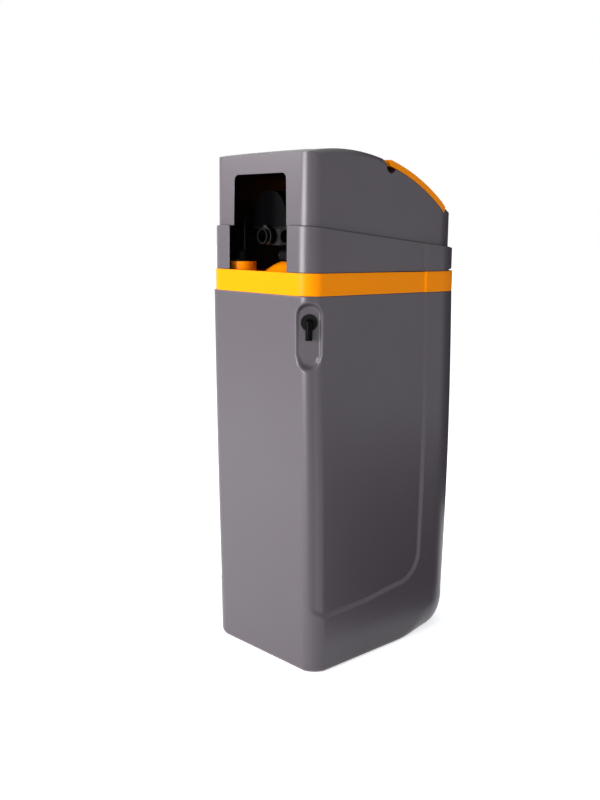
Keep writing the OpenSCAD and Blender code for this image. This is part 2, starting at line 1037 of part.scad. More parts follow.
// Half outline of the vessel with elliptical ends, drawn in by d
module vessel_half(d) {
    n = 10;
    r = tank_r - boot_t - seat_fit - d;
    polygon(concat(
        [[0, tank_z + d]],
        [for (i = [1 : n])
            let (a = 90 * i / n)
            [r * sin(a), tank_z + dome_h - (dome_h - d) * cos(a)]],
        [for (i = [0 : n - 4])
            let (a = 90 * i / n)
            [r * cos(a), shoulder_z - dome_h + (dome_h - d) * sin(a)]],
        [[neck_r - d * 1.5, shoulder_z - d], [neck_r - d * 1.5, neck_z + 1], [0, neck_z + 1]]));
}

module resin_tank() {
    color("#d9d2b8")
        translate([0, tank_y, 0])
            rotate_extrude()
                difference() {
                    intersection() {
                        vessel_half(0);
                        square([tank_r, neck_z]);
                    }
                    vessel_half(tank_wall);
                }
}

module resin_bed() {
    color("#8a5a24")
        translate([0, tank_y, 0])
            rotate_extrude()
                difference() {
                    intersection() {
                        vessel_half(tank_wall + seat_fit);
                        square([tank_r, tank_z + bed_h]);
                    }
                    square([riser_r + 9, tank_z + 90]);
                    square([riser_r + seat_fit, neck_z]);
                }
}

module riser_tube() {
    color("white")
        translate([0, tank_y, tank_z + 30])
            difference() {
                cylinder(r = riser_r, h = neck_z + 10 - tank_z - 30);
                translate([0, 0, -1])
                    cylinder(r = riser_r - 2, h = neck_z);
            }
}

module strainer(z, up) {
    h = 50;
    color("white")
        translate([0, tank_y, z])
            difference() {
                cylinder(r1 = riser_r + 7, r2 = riser_r + 3, h = h);
                translate([0, 0, up ? -1 : 20])
                    cylinder(r = riser_r + seat_fit / 2, h = h + 2);
                if (!up)
                    translate([0, 0, -1])
                        cylinder(r = riser_r - 3, h = h);
                for (i = [0 : 5], k = [0 : 2])
                    rotate([0, 0, 60 * i])
                        translate([riser_r + 2, -6, 6 + 4 * k])
                            cube([10, 12, 2]);
            }
}

module bottom_strainer() { strainer(tank_z + tank_wall + 6, false); }
module top_strainer() { strainer(neck_z - 50, true); }

module neck_clamp(s) {
    color(black)
        translate([0, tank_y, neck_z - 8])
            difference() {
                union() {
                    cylinder(r = neck_r + 8, h = 24);
                    translate([-6 + s * 6, -neck_r - 18, 4])
                        cube([12, 2 * neck_r + 36, 16]);
                }
                translate([0, 0, -1])
                    cylinder(r = neck_r + seat_fit / 2, h = 26);
                translate([0, 0, 6])
                    cylinder(r = neck_r + 4 + seat_fit / 2, h = 12);
                translate([s > 0 ? -reach + 0.3 : -0.3, -reach / 2, -1])
                    cube([reach, reach, 26]);
                for (y = [-1, 1])
                    translate([0, y * (neck_r + 13), 12])
                        bar_x(screw_r - 1, 60);
            }
}

module neck_clamp_left() { neck_clamp(-1); }
module neck_clamp_right() { neck_clamp(1); }

module clamp_screws() {
    color("silver")
        for (y = [-1, 1])
            translate([0, tank_y + y * (neck_r + 13), neck_z + 4]) {
                bar_x(screw_r - 1.1, 24);
                translate([13.5, 0, 0])
                    bar_x(screw_r, 3);
            }
}

// Valve

module valve_body() {
    color(black)
        difference() {
            union() {
                translate([0, tank_y, neck_z])
                    cylinder(r = neck_r + 4, h = 10);
                translate([0, tank_y, neck_z + 9])
                    cylinder(r = neck_r, h = valve_z - neck_z);
                translate([rotor_x, rotor_y, valve_z - 19])
                    cylinder(r = chamber_r, h = 39);
                for (s = [-1, 1])
                    translate([s * port_x, tank_y, valve_z]) {
                        bar_y(port_r - 3, port_y - tank_y);
                        translate([0, port_y - tank_y - 22, 0])
                            bar_y(port_r, 22);
                    }
                translate([-port_x, tank_y, valve_z - 14])
                    cylinder(r = port_r + 3, h = 30);
                translate([rotor_x, venturi_y - 12, valve_z - 12])
                    cube([venturi_x - rotor_x, 24, 24]);
                translate([rotor_x - cover_half, cover_y0, cover_z - 4])
                    cube([2 * cover_half, cover_y1 - cover_y0, 4]);
                translate([-port_x - 38, tank_y + 10, valve_z - 12])
                    cube([40, 20, 20]);
            }
            for (s = [-1, 1])
                translate([s * port_x, tank_y + 20, valve_z])
                    bar_y(port_bore, port_y);
            for (s = [-1, 1])
                translate([s * port_x, port_y - socket_len, valve_z])
                    bar_y(socket_r, socket_len + 1);
            translate([rotor_x, rotor_y, valve_z - 15])
                cylinder(r = chamber_r - 5, h = 40);
            translate([venturi_x, venturi_y, valve_z - 20])
                cylinder(r = venturi_r + 0.05, h = 60);
            translate([0, tank_y, neck_z - 1])
                cylinder(r = riser_r + seat_fit, h = 18);
            for (s = [-1, 1])
                translate([s * port_x, port_y - 10, valve_z])
                    clip_slot();
            translate([-port_x - 29, tank_y + 20, valve_z - 2])
                bar_y(5 + 0.02, 30);
        }
}

// Groove for a port clip, cut into the port from outside
module clip_slot() {
    difference() {
        translate([0, -2.2, 0])
            bar_y(port_r + 2, 4.4);
        translate([0, -3, 0])
            bar_y(port_r - 2.5, 6);
    }
}

module port_clip(s) {
    color("#3a3d40")
        translate([s * port_x, port_y - 10, valve_z])
            difference() {
                translate([0, -2, 0])
                    union() {
                        bar_y(port_r + 2, 4);
                        translate([-5, 0, port_r])
                            cube([10, 4, 6]);
                    }
                translate([0, -3, 0])
                    bar_y(port_r - 2.3, 6);
                translate([-7, -5, -2 * port_r])
                    cube([14, 10, 2 * port_r]);
            }
}

module inlet_clip() { port_clip(1); }
module outlet_clip() { port_clip(-1); }

module turbine_support() {
    color("white")
        translate([-port_x, turbine_y + 14, valve_z]) {
            difference() {
                bar_y(port_bore - 0.05, 6);
                translate([0, -1, 0])
                    bar_y(port_bore - 1.5, 8);
            }
            difference() {
                union() {
                    bar_y(3, 6);
                    for (a = [0 : 60 : 120])
                        rotate([0, a, 0])
                            translate([-port_bore + 1, 1, -0.6])
                                cube([2 * port_bore - 2, 4, 1.2]);
                }
                translate([0, -1, 0])
                    bar_y(1.2 + run_fit, 6);
            }
        }
}

module flow_turbine() {
    color("white")
        translate([-port_x, turbine_y, valve_z]) {
            bar_y(2.6, 13);
            bar_y(1.2, 18);
            for (a = [0 : 60 : 300])
                rotate([0, a, 0])
                    translate([1.5, 2, 0])
                        rotate([25, 0, 0])
                            translate([0, 0, -0.5])
                                cube([port_bore - 3, 8, 1]);
        }
}

// Spur gear outline with straight sided teeth and backlash
module gear_outline(teeth, turn) {
    r = gear_m * teeth / 2;
    pitch = 360 / teeth;
    root = r - 1.1 * gear_m;
    tip = r + 0.85 * gear_m;
    polygon([for (i = [0 : teeth - 1], k = [0 : 3])
        let (share = [-0.30, -0.10, 0.10, 0.30][k], rad = k == 1 || k == 2 ? tip : root)
        rad * [cos(turn + pitch * (i + share)), sin(turn + pitch * (i + share))]]);
}

module cam_gear() {
    color("#e9e6dc")
        translate([rotor_x, rotor_y, 0]) {
            translate([0, 0, gear_z])
                linear_extrude(gear_h)
                    gear_outline(gear_teeth, -90);
            translate([0, 0, gear_z + gear_h - 0.5])
                difference() {
                    cylinder(r = gear_r * 0.7, h = 3.5);
                    translate([gear_r * 0.7 - 5, -6, 1])
                        cube([8, 12, 4]);
                }
            translate([0, 0, valve_z - 5])
                cylinder(r = shaft_r, h = gear_z - valve_z + 6);
            translate([0, 0, valve_z - 14.7])
                cylinder(r = chamber_r - 5.5, h = 10);
        }
}

// Sealing cap of the rotor chamber, with the bearing of the cam gear's shaft
module valve_cap() {
    color(black)
        translate([rotor_x, rotor_y, cover_z])
            difference() {
                cylinder(r = chamber_r, h = cap_t);
                translate([0, 0, -1])
                    cylinder(r = shaft_r + run_fit, h = cap_t + 2);
            }
}

module motor_plate() {
    edge = motor_r + 5;
    color("#c7c9cc") {
        difference() {
            translate([rotor_x - edge, motor_y - edge, plate_z])
                cube([2 * edge + 12, rotor_y + 12 - motor_y + edge, plate_t]);
            translate([rotor_x, motor_y, plate_z - 1])
                cylinder(r = pinion_r + 3, h = plate_t + 2);
        }
        for (a = [-125, -55])
            translate([rotor_x + post_d * cos(a), rotor_y + post_d * sin(a), cover_z + cap_t])
                cylinder(r = post_r, h = plate_z - cover_z - cap_t + 0.5);
    }
}

module drive_motor() {
    color("#b9bcc0")
        difference() {
            union() {
                translate([rotor_x, motor_y, plate_z + plate_t])
                    cylinder(r = motor_r, h = 20);
                translate([rotor_x - 8, motor_y - motor_r - 3, plate_z + plate_t])
                    cube([16, 10, 14]);
            }
            translate([rotor_x, motor_y, plate_z])
                cylinder(r = 3 + run_fit, h = 16);
        }
}

module motor_pinion() {
    color("#e9e6dc")
        translate([rotor_x, motor_y, 0]) {
            translate([0, 0, gear_z - 1])
                linear_extrude(gear_h + 2)
                    gear_outline(pinion_teeth, 90 + 180 / pinion_teeth);
            translate([0, 0, gear_z + gear_h])
                cylinder(r = 3, h = plate_z + plate_t - gear_z - gear_h + 10);
        }
}

module position_switch() {
    color("#3a3d40")
        translate([rotor_x + gear_r * 0.7 + 2, rotor_y - 10, gear_z + gear_h + seat_fit])
            cube([8, 20, plate_z - gear_z - gear_h - 2 * seat_fit]);
}

// Arched outline of the valve cover, drawn in by d
module arch(d) {
    translate([-(cover_half - d), 0])
        square([2 * (cover_half - d), spring_z - cover_z]);
    translate([0, spring_z - cover_z])
        circle(cover_half - d);
}

module valve_cover() {
    color(black)
        translate([rotor_x, cover_y1, cover_z])
            rotate([90, 0, 0])
                difference() {
                    linear_extrude(cover_y1 - cover_y0)
                        arch(0);
                    translate([0, -1, cover_t])
                        linear_extrude(cover_y1 - cover_y0 - 2 * cover_t)
                            union() {
                                arch(cover_t);
                                translate([-cover_half + cover_t, -spring_z])
                                    square([2 * (cover_half - cover_t), spring_z + 2]);
                            }
                    translate([-reach, -reach, -1])
                        cube([2 * reach, reach, reach]);
                }
}

module venturi_housing() {
    color(black)
        difference() {
            union() {
                translate([venturi_x, venturi_y, valve_z - 12])
                    cylinder(r = venturi_r, h = venturi_z - valve_z + 22);
                translate([venturi_x, venturi_y, venturi_z + 9])
                    cylinder(r = venturi_r + 1, h = 8);
                translate([tube_x, venturi_y, venturi_z])
                    bar_y(tube_r + 3, 24);
            }
            translate([tube_x, venturi_y + 10, venturi_z])
                bar_y(tube_r + 0.02, 30);
        }
}

module drain_spigot() {
    color(black)
        translate([-port_x - 29, tank_y + 20, valve_z - 2])
            difference() {
                union() {
                    bar_y(5, 40);
                    translate([0, 10.2, 0])
                        bar_y(8, 6);
                    for (k = [0 : 2])
                        translate([0, 24 + 5 * k, 0])
                            rotate([-90, 0, 0])
                                cylinder(r1 = 6.2, r2 = 5, h = 4);
                }
                translate([0, -1, 0])
                    bar_y(3.2, 60);
            }
}

// Brine well

module brine_well() {
    color("#e6e6e2")
        translate([well_x, well_y, 0])
            difference() {
                union() {
                    translate([0, 0, well_z])
                        cylinder(r = well_r, h = deck_z + collar_h - 10 - well_z);
                    translate([0, 0, deck_z + collar_h - 10])
                        cylinder(r = well_r + 3, h = 2);
                }
                translate([0, 0, well_z - 1])
                    cylinder(r = well_r - 2, h = rim_z);
                for (i = [0 : 3], k = [0 : 3])
                    rotate([0, 0, 90 * i])
                        translate([0, -2, well_z + 20 + 14 * k])
                            cube([well_r + 5, 4, 8]);
            }
}

module well_cap() {
    color(black)
        translate([well_x, well_y, deck_z + collar_h])
            difference() {
                union() {
                    cylinder(r = collar_r - 1, h = 4);
                    translate([0, 0, -7.7])
                        cylinder(r = collar_r - 4 - seat_fit, h = 8);
                    translate([0, 0, 3])
                        cylinder(r1 = collar_r - 6, r2 = collar_r - 12, h = cap_h - 3);
                }
                translate([0, 0, -20])
                    cylinder(r = stem_r + 0.02, h = 32);
                translate([tube_x - well_x, 0, 15])
                    cylinder(r = tube_r + 0.02, h = 30);
            }
}

module brine_riser() {
    color("white")
        translate([well_x, well_y, well_z + 36])
            difference() {
                cylinder(r = stem_r, h = deck_z + collar_h + 10 - well_z - 36);
                translate([0, 0, -1])
                    cylinder(r = stem_r - 1.5, h = rim_z);
            }
}

module brine_valve() {
    color(black)
        translate([well_x, well_y, well_z + 4])
            difference() {
                union() {
                    cylinder(r = well_r - 2 - seat_fit, h = 6);
                    cylinder(r = 9, h = 40);
                }
                translate([0, 0, 32])
                    cylinder(r = stem_r + 0.02, h = 20);
                translate([-20, -2.5, 8])
                    cube([40, 5, 10]);
            }
}

module brine_float() {
    color("#d8dadc")
        translate([well_x, well_y, float_z])
            difference() {
                cylinder(r = float_r, h = 60);
                translate([0, 0, -1])
                    cylinder(r = stem_r + seat_fit, h = 62);
            }
}

module brine_tube() {
    start_z = deck_z + collar_h + 15;
    color(black)
        difference() {
            union() {
                translate([tube_x, well_y, start_z])
                    cylinder(r = tube_r, h = tube_top - tube_bend - start_z);
                translate([tube_x, well_y - tube_bend, tube_top - tube_bend])
                    rotate([0, -90, 0])
                        rotate_extrude(angle = 90)
                            translate([tube_bend, 0])
                                circle(tube_r);
                translate([tube_x, venturi_y + 10, tube_top])
                    bar_y(tube_r, well_y - tube_bend - venturi_y - 10);
            }
            translate([tube_x, well_y, start_z - 1])
                cylinder(r = tube_r - 1.5, h = 20);
        }
}

cabinet_shell();
overflow_grommet();
overflow_elbow();
rim_deck();
cover_ring();
ring_screws();
hood();
hinge_pins();
salt_lid();
panel_bezel();
display_lens();
circuit_board();
panel_button_1();
panel_button_2();
panel_button_3();
panel_button_4();
tank_boot();
resin_tank();
resin_bed();
riser_tube();
bottom_strainer();
top_strainer();
neck_clamp_left();
neck_clamp_right();
clamp_screws();
valve_body();
valve_cap();
valve_cover();
inlet_clip();
outlet_clip();
turbine_support();
flow_turbine();
cam_gear();
motor_plate();
drive_motor();
motor_pinion();
position_switch();
venturi_housing();
drain_spigot();
brine_well();
well_cap();
brine_riser();
brine_valve();
brine_float();
brine_tube();
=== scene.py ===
"""Looks of a cabinet water softener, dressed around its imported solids.

The scene is in metres, and the sizes of pieces and patterns are in millimetres.
"""

import logging
from abc import ABC, abstractmethod
from dataclasses import dataclass, replace
from enum import Enum
from typing import Any

import bpy
import numpy as np
from mathutils import Matrix, Vector

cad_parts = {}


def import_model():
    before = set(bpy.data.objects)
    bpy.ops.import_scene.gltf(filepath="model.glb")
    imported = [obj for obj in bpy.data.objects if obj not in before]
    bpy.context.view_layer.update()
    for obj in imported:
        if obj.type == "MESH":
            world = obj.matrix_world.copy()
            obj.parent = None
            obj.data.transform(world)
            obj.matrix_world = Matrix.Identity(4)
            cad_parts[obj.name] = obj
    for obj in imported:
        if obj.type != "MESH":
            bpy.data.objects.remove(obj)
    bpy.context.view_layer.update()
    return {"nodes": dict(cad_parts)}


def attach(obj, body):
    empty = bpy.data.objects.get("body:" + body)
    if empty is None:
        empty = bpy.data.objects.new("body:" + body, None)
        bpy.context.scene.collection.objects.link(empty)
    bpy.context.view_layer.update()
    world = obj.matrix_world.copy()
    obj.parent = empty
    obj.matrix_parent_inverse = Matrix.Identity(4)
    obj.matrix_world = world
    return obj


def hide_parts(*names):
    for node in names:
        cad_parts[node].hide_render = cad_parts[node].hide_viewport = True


LOG = logging.getLogger("softener")
Array = np.ndarray
Point = tuple[float, float, float]
Nodes = dict[str, bpy.types.Object]

MM = 0.001
# Middle of the top covers, in metres: a cover's faces that look towards it are its inside, which takes the
# painted shade.
COVER_MIDDLE: Point = (0.0, 0.05, 0.95)
# The wave texture multiplies its coordinates by this before it draws its bands.
WAVE_FACTOR = 20.0


class Pattern(Enum):
    """How a moulded or made surface breaks up the light."""

    GRAIN = "grain"
    SMOOTH = "smooth"
    BRUSHED = "brushed"
    WOUND = "wound"
    BEADS = "beads"


def linear(code: str, alpha: float = 1.0) -> tuple[float, float, float, float]:
    """Turns an sRGB hex colour into linear values.

    Args:
        code: Colour as six hex digits, with or without a leading hash.
        alpha: Opacity to append.

    Returns:
        Linear red, green, blue and alpha.
    """
    digits = code.lstrip("#")
    srgb = np.array([int(digits[i:i + 2], 16) / 255 for i in (0, 2, 4)])
    rgb = np.where(srgb <= 0.04045, srgb / 12.92, ((srgb + 0.055) / 1.055) ** 2.4)
    return (*(float(v) for v in rgb), alpha)


def empty_tree(owner: bpy.types.Material | bpy.types.World) -> bpy.types.NodeTree:
    """Gives a material or a world a node tree with nothing in it.

    Args:
        owner: Material or world to prepare.

    Returns:
        Its node tree.
    """
    owner.use_nodes = True
    owner.node_tree.nodes.clear()
    return owner.node_tree


def add_node(
    tree: bpy.types.NodeTree, kind: str, links: dict[Any, Any] | None = None, **values: Any
) -> bpy.types.Node:
    """Adds one node with its settings and incoming links.

    Args:
        tree: Node tree that takes the node.
        kind: Blender's type name of the node.
        links: Socket name or index to an output socket or a plain value.
        values: Attributes of the node itself.

    Returns:
        The new node.
    """
    node = tree.nodes.new(kind)
    for name, value in values.items():
        setattr(node, name, value)
    for socket, source in (links or {}).items():
        if isinstance(source, bpy.types.NodeSocket):
            tree.links.new(source, node.inputs[socket])
        else:
            node.inputs[socket].default_value = source
    return node


def add_object(name: str, data: bpy.types.ID) -> bpy.types.Object:
    """Makes an object and links it to the scene.

    Args:
        name: Name of the object.
        data: Its mesh, lamp or camera.

    Returns:
        The new object, at the origin.
    """
    made = bpy.data.objects.new(name, data)
    bpy.context.scene.collection.objects.link(made)
    return made


@dataclass(frozen=True)
class Finish:
    """One real material: its colours, gloss and surface pattern; where given, also a painted shade on its
    inward faces.

    The grain is the pattern's spacing, the depth is the height of its relief, and the broad spacing is that
    of a slow drift in tint and gloss over the whole piece. The stretch is how much longer than wide brushed
    lines are.
    """

    name: str
    colour: str
    shade: str
    roughness: float
    pattern: Pattern = Pattern.GRAIN
    grain_mm: float = 0.8
    depth_mm: float = 0.05
    ior: float = 1.5
    metallic: float = 0.0
    coat: float = 0.0
    specular: float = 0.5
    # Painted shade: a dark colour for the faces that look inward, in place of the shade inside a cover.
    painted_inner_shade: str = ""
    broad_mm: float = 111.0
    drift: float = 0.02
    stretch: float = 20.0

    def material(self) -> bpy.types.Material:
        """Builds the material once and hands out the same one after that.

        Returns:
            The node material of this finish.
        """
        found = bpy.data.materials.get(self.name)
        if found:
            return found
        made = bpy.data.materials.new(self.name)
        tree = empty_tree(made)
        coords = add_node(tree, "ShaderNodeTexCoord").outputs["Object"]
        fine = self._texture(tree, coords)
        broad = add_node(tree, "ShaderNodeTexNoise", {
            "Vector": coords, "Scale": 1.0 / (self.broad_mm * MM), "Detail": 3.0}).outputs[0]
        mixed = add_node(tree, "ShaderNodeMath", {0: broad, 1: fine}, operation="MULTIPLY").outputs[0]
        tint = add_node(tree, "ShaderNodeMix", {
            "Factor": mixed, "A": linear(self.colour), "B": linear(self.shade)}, data_type="RGBA")
        # Painted shade: the inner faces take the dark colour instead of being darkened by the light.
        if self.painted_inner_shade:
            tint = add_node(tree, "ShaderNodeMix", {
                "Factor": self._painted_shade_mask(tree, coords), "A": tint.outputs["Result"], "B": linear(self.painted_inner_shade)},
                data_type="RGBA")
        rough = add_node(tree, "ShaderNodeMapRange", {
            "Value": broad, "From Min": 0.3, "From Max": 0.7,
            "To Min": self.roughness - self.drift, "To Max": self.roughness + self.drift})
        bump = add_node(tree, "ShaderNodeBump", {
            "Height": fine, "Strength": 1.0, "Distance": self.depth_mm * MM})
        shader = add_node(tree, "ShaderNodeBsdfPrincipled", {
            "Base Color": tint.outputs["Result"], "Roughness": rough.outputs[0], "Normal": bump.outputs[0],
            "Metallic": self.metallic, "IOR": self.ior, "Coat Weight": self.coat,
            "Specular IOR Level": self.specular})
        add_node(tree, "ShaderNodeOutputMaterial", {"Surface": shader.outputs[0]})
        return made

    def _painted_shade_mask(self, tree: bpy.types.NodeTree, coords: bpy.types.NodeSocket) -> bpy.types.NodeSocket:
        """Tells the inside of a cover from its outside, where the painted shade goes.

        The inside is where the surface faces a point in the middle of the covers.

        Args:
            tree: Node tree of the material.
            coords: Object coordinates in metres.

        Returns:
            1 on inner faces and 0 on outer ones.
        """
        normal = add_node(tree, "ShaderNodeNewGeometry").outputs["True Normal"]
        away = add_node(tree, "ShaderNodeVectorMath", {0: coords, 1: COVER_MIDDLE}, operation="SUBTRACT")
        facing = add_node(tree, "ShaderNodeVectorMath", {
            0: normal, 1: away.outputs[0]}, operation="DOT_PRODUCT")
        inner = add_node(tree, "ShaderNodeMath", {0: facing.outputs["Value"], 1: 0.0}, operation="LESS_THAN")
        return inner.outputs[0]

    def _texture(self, tree: bpy.types.NodeTree, coords: bpy.types.NodeSocket) -> bpy.types.NodeSocket:
        """Adds the fine pattern of the surface.

        Args:
            tree: Node tree of the material.
            coords: Object coordinates in metres.

        Returns:
            The pattern's value from 0 to 1.
        """
        scale = 1.0 / (self.grain_mm * MM)
        if self.pattern is Pattern.BEADS:
            beads = add_node(tree, "ShaderNodeTexVoronoi", {"Vector": coords, "Scale": scale})
            return beads.outputs["Distance"]
        if self.pattern is Pattern.WOUND:
            wave = add_node(tree, "ShaderNodeTexWave", {
                "Vector": coords, "Scale": scale / WAVE_FACTOR, "Distortion": 3.0, "Detail": 2.0,
                "Detail Scale": 3.0}, bands_direction="Z")
            return wave.outputs["Fac"]
        if self.pattern is Pattern.BRUSHED:
            lines = add_node(tree, "ShaderNodeMapping", {
                "Vector": coords, "Scale": (1.0, self.stretch, self.stretch)})
            return add_node(tree, "ShaderNodeTexNoise", {
                "Vector": lines.outputs[0], "Scale": scale / self.stretch, "Detail": 2.0}).outputs[0]
        detail = 3.0 if self.pattern is Pattern.GRAIN else 1.0
        return add_node(tree, "ShaderNodeTexNoise", {
            "Vector": coords, "Scale": scale, "Detail": detail}).outputs[0]


# Moulded ABS with a fine spark-eroded grain: soft broad highlights, no mirror image.
CABINET_GREY = Finish(
    "abs_grey_fine_grain", "4c454b", "473f46", 0.345, grain_mm=1.4, depth_mm=0.02, specular=0.45)
# The same moulding on the covers, with painted shade: their inner faces are coloured near black to stand in
# for the shade inside them.
COVER_GREY = replace(CABINET_GREY, name="abs_grey_painted_inner_shade", painted_inner_shade="0a0a0b")
# Smooth moulded ABS, saturated yellow-orange, with a soft highlight.
RIM_ORANGE = Finish(
    "abs_orange_smooth", "ff9200", "fa8800", 0.35, Pattern.SMOOTH, grain_mm=6.0, depth_mm=0.01,
    specular=0.06)
# Glass-filled black nylon of the valve: dark with a dull sheen.
VALVE_BLACK = Finish(
    "nylon_black_moulded", "070708", "050506", 0.4, grain_mm=0.9, depth_mm=0.03, specular=0.06)
# Smooth black polypropylene of caps, covers and the brine tube: dark with small sharp highlights.
COVER_BLACK = Finish(
    "polypropylene_black_smooth", "060607", "040405", 0.2, Pattern.SMOOTH, grain_mm=5.0, depth_mm=0.01,
    specular=0.03)
# Polished acetal clips: near black with bright edges.
CLIP_ACETAL = Finish(
    "acetal_grey_clip", "26282b", "1e2023", 0.22, Pattern.SMOOTH, grain_mm=4.0, depth_mm=0.01, specular=0.3)
# Soft rubber grommet: matt black.
SEAL_RUBBER = Finish(
    "rubber_black_matt", "0f0f10", "0b0b0c", 0.62, grain_mm=0.6, depth_mm=0.03, specular=0.09)
# Zinc plated steel: metallic with faint rolling lines.
ZINC_STEEL = Finish(
    "steel_zinc_plated", "c2c4c8", "aeb0b5", 0.34, Pattern.BRUSHED, grain_mm=0.7, depth_mm=0.006,
    metallic=1.0)
# Tinted polished acrylic over the display: a dark clear mirror.
DISPLAY_WINDOW = Finish(
    "acrylic_tinted_polished", "14191d", "101418", 0.08, Pattern.SMOOTH, grain_mm=9.0, depth_mm=0.002,
    ior=1.49, coat=0.3)
# Soft-touch ABS of the button caps: light grey without a highlight.
BUTTON_GREY = Finish("abs_light_grey_grain", "8f9296", "868a8e", 0.5, grain_mm=0.8, depth_mm=0.03)
# Lacquered board laminate: an even green gloss.
BOARD_GREEN = Finish(
    "laminate_green_lacquer", "2b5a3e", "244e35", 0.35, Pattern.SMOOTH, grain_mm=3.0, depth_mm=0.01)
# Wound glass fibre vessel: cream resin with helical fibre bands.
TANK_FIBRE = Finish("glass_fibre_wound", "d3c8a4", "c2b58c", 0.4, Pattern.WOUND, grain_mm=4.0, depth_mm=0.08)
# Ion exchange beads as a packed bed, drawn coarser than the real half millimetre so that they show.
RESIN_BEADS = Finish(
    "resin_beads_amber", "9a6428", "6f4417", 0.35, Pattern.BEADS, grain_mm=1.6, depth_mm=0.4)
# Natural white polypropylene of tubes, gears and strainers: waxy, with a soft sheen.
TUBE_WHITE = Finish("polypropylene_white", "e4e1d9", "d9d5cb", 0.42, grain_mm=1.2, depth_mm=0.02)


def smooth(t: Array) -> Array:
    """Eases from 0 to 1 with level ends.

    The formula is six t to the fifth, less fifteen t to the fourth, plus ten t cubed.

    Args:
        t: Values to ease; those outside 0 to 1 are held at the ends.

    Returns:
        The eased values.
    """
    t = np.clip(t, 0.0, 1.0)
    return t * t * t * (t * (6.0 * t - 15.0) + 10.0)


def spread(stops: tuple[float, ...], steps: tuple[int, ...]) -> Array:
    """Runs through the stops in order, with even steps from each stop to the next.

    Args:
        stops: Values to pass through.
        steps: Number of steps between each stop and the next.

    Returns:
        All values, with the first and the last stop among them.
    """
    return np.interp(np.arange(sum(steps) + 1), np.cumsum((0, *steps)), stops)


def grid_object(name: str, grid: Array, poles: tuple[Point, Point]) -> bpy.types.Object:
    """Makes a smooth closed mesh of a grid of points, with its faces turned outwards.

    Args:
        name: Name of the object.
        grid: Rows by columns by three, in millimetres; the columns run round the piece and close.
        poles: Points that close the first and the last row, in millimetres.

    Returns:
        The new object, linked to the scene.
    """
    rows, cols = grid.shape[:2]
    first = np.arange(rows - 1)[:, None] * cols
    here = np.arange(cols)
    there = (here + 1) % cols
    ring = [first + here, first + there, first + cols + there, first + cols + here]
    quads = np.stack(ring, -1).reshape(-1, 4)
    points = np.concatenate([grid.reshape(-1, 3), np.array(poles)])
    low = np.full(cols, rows * cols)
    last = (rows - 1) * cols
    fans = [np.stack([low, there, here], -1), np.stack([low + 1, last + here, last + there], -1)]
    tris = np.concatenate(fans)
    a, b, c, d = (points[quads[:, i]] for i in range(4))
    volume = np.sum(a * np.cross(b, c)) + np.sum(a * np.cross(c, d))
    if volume < 0:
        quads, tris = quads[:, ::-1], tris[:, ::-1]
    corners = np.concatenate([quads.ravel(), tris.ravel()])
    sizes = np.concatenate([np.full(len(quads), 4), np.full(len(tris), 3)])
    mesh = bpy.data.meshes.new(name)
    mesh.vertices.add(len(points))
    mesh.vertices.foreach_set("co", (points * MM).astype(np.float32).ravel())
    mesh.loops.add(len(corners))
    mesh.loops.foreach_set("vertex_index", corners.astype(np.int32))
    mesh.polygons.add(len(sizes))
    mesh.polygons.foreach_set("loop_start", (np.cumsum(sizes) - sizes).astype(np.int32))
    mesh.polygons.foreach_set("loop_total", sizes.astype(np.int32))
    mesh.polygons.foreach_set("use_smooth", np.ones(len(sizes), bool))
    mesh.update(calc_edges=True)
    mesh.validate()
    return add_object(name, mesh)


